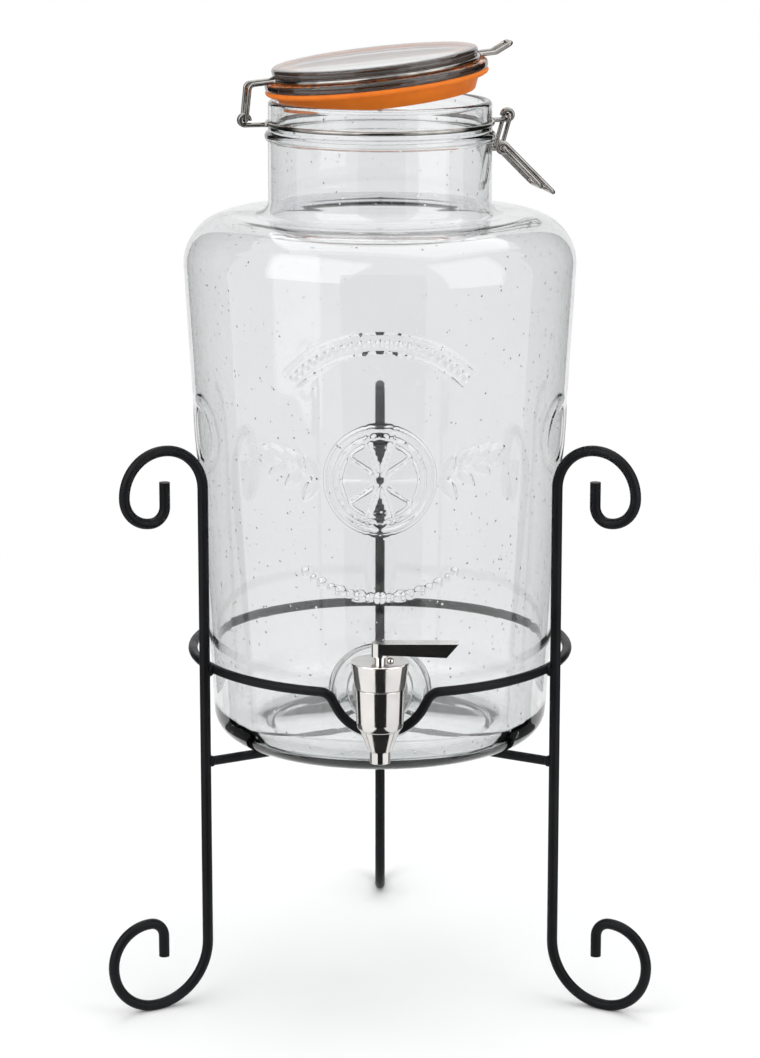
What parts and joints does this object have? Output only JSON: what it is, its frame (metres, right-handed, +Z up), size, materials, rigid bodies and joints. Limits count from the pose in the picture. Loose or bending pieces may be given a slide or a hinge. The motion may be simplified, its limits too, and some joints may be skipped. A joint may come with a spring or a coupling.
{
  "type": "beverage dispenser",
  "caption": "Clear glass clip-top drink jar with a hinged lid, orange seal, wire latch and steel lever tap, standing in a black rod stand with scrolled legs.",
  "frame": {"origin": "on the jar's axis at floor level, in the plane of the flats under the feet", "axes": "+Z up along the jar's axis, -Y towards the tap, +X to the right of someone facing the tap"},
  "size_m": [0.2854, 0.2994, 0.5049],
  "materials": {
    "rod_black": "satin powder coat",
    "clear_glass": "clear",
    "wire_steel": "bright drawn wire",
    "tap_steel": "polished",
    "orange_silicone": "matt",
    "white_silicone": "matt",
    "black_rubber": "matt"
  },
  "bodies": {
    "stand": {"leg_front_left": "rod_black", "leg_front_right": "rod_black", "leg_back": "rod_black", "hoop_ring": "rod_black", "spoke_front_left": "rod_black", "spoke_front_right": "rod_black", "spoke_back": "rod_black"},
    "jar": {"glass_jar": "clear_glass", "neck_wire": "wire_steel", "tap_body": "tap_steel", "tap_bonnet": "tap_steel", "tap_nozzle": "tap_steel", "cam_sleeve": "tap_steel", "stem_spring": "tap_steel", "stem_o_ring": "black_rubber", "outer_washer": "white_silicone", "inner_washer": "white_silicone", "backing_washer": "tap_steel", "lock_nut": "tap_steel"},
    "lid": {"glass_lid": "clear_glass", "lid_gasket": "orange_silicone", "lid_wire": "wire_steel"},
    "latch_lever": {"latch_lever": "wire_steel"},
    "latch_loop": {"latch_loop": "wire_steel"},
    "stopper": {"seat_stopper": "white_silicone", "spring_seat": "tap_steel"},
    "tap_lever": {"tap_stem": "tap_steel", "tap_lever": "tap_steel", "cam_pin": "tap_steel"}
  },
  "joints": [
    {"name": "jar_lift", "type": "slide", "parent": "stand", "child": "jar", "axis": [0, 0, 1], "range_m": [0, 0.2]},
    {"name": "lid_hinge", "type": "hinge", "parent": "jar", "child": "lid", "pos_m": [-0.07013, -0.01491, 0.4659], "axis": [0.2079, -0.9781, 0], "range_deg": [-6.4, 100]},
    {"name": "latch_lever_turn", "type": "hinge", "parent": "jar", "child": "latch_lever", "pos_m": [0.06691, 0.01422, 0.4659], "axis": [0.2079, -0.9781, 0], "range_deg": [0, 130]},
    {"name": "latch_loop_turn", "type": "hinge", "parent": "latch_lever", "child": "latch_loop", "pos_m": [0.06232, 0.01325, 0.44956], "axis": [-0.2079, 0.9781, 0], "range_deg": [-132, 0]},
    {"name": "stem_lift", "type": "slide", "parent": "jar", "child": "stopper", "axis": [0, 0, 1], "range_m": [0, 0.004], "deforming": ["stem_spring"]},
    {"name": "lever_turn", "type": "hinge", "parent": "stopper", "child": "tap_lever", "pos_m": [0, -0.12012, 0.2], "axis": [0, 0, -1], "range_deg": [0, 90]}
  ],
  "couplings": [
    {"joint": "stem_lift", "follows": "lever_turn", "m_per_rad": 0.0025465}
  ]
}
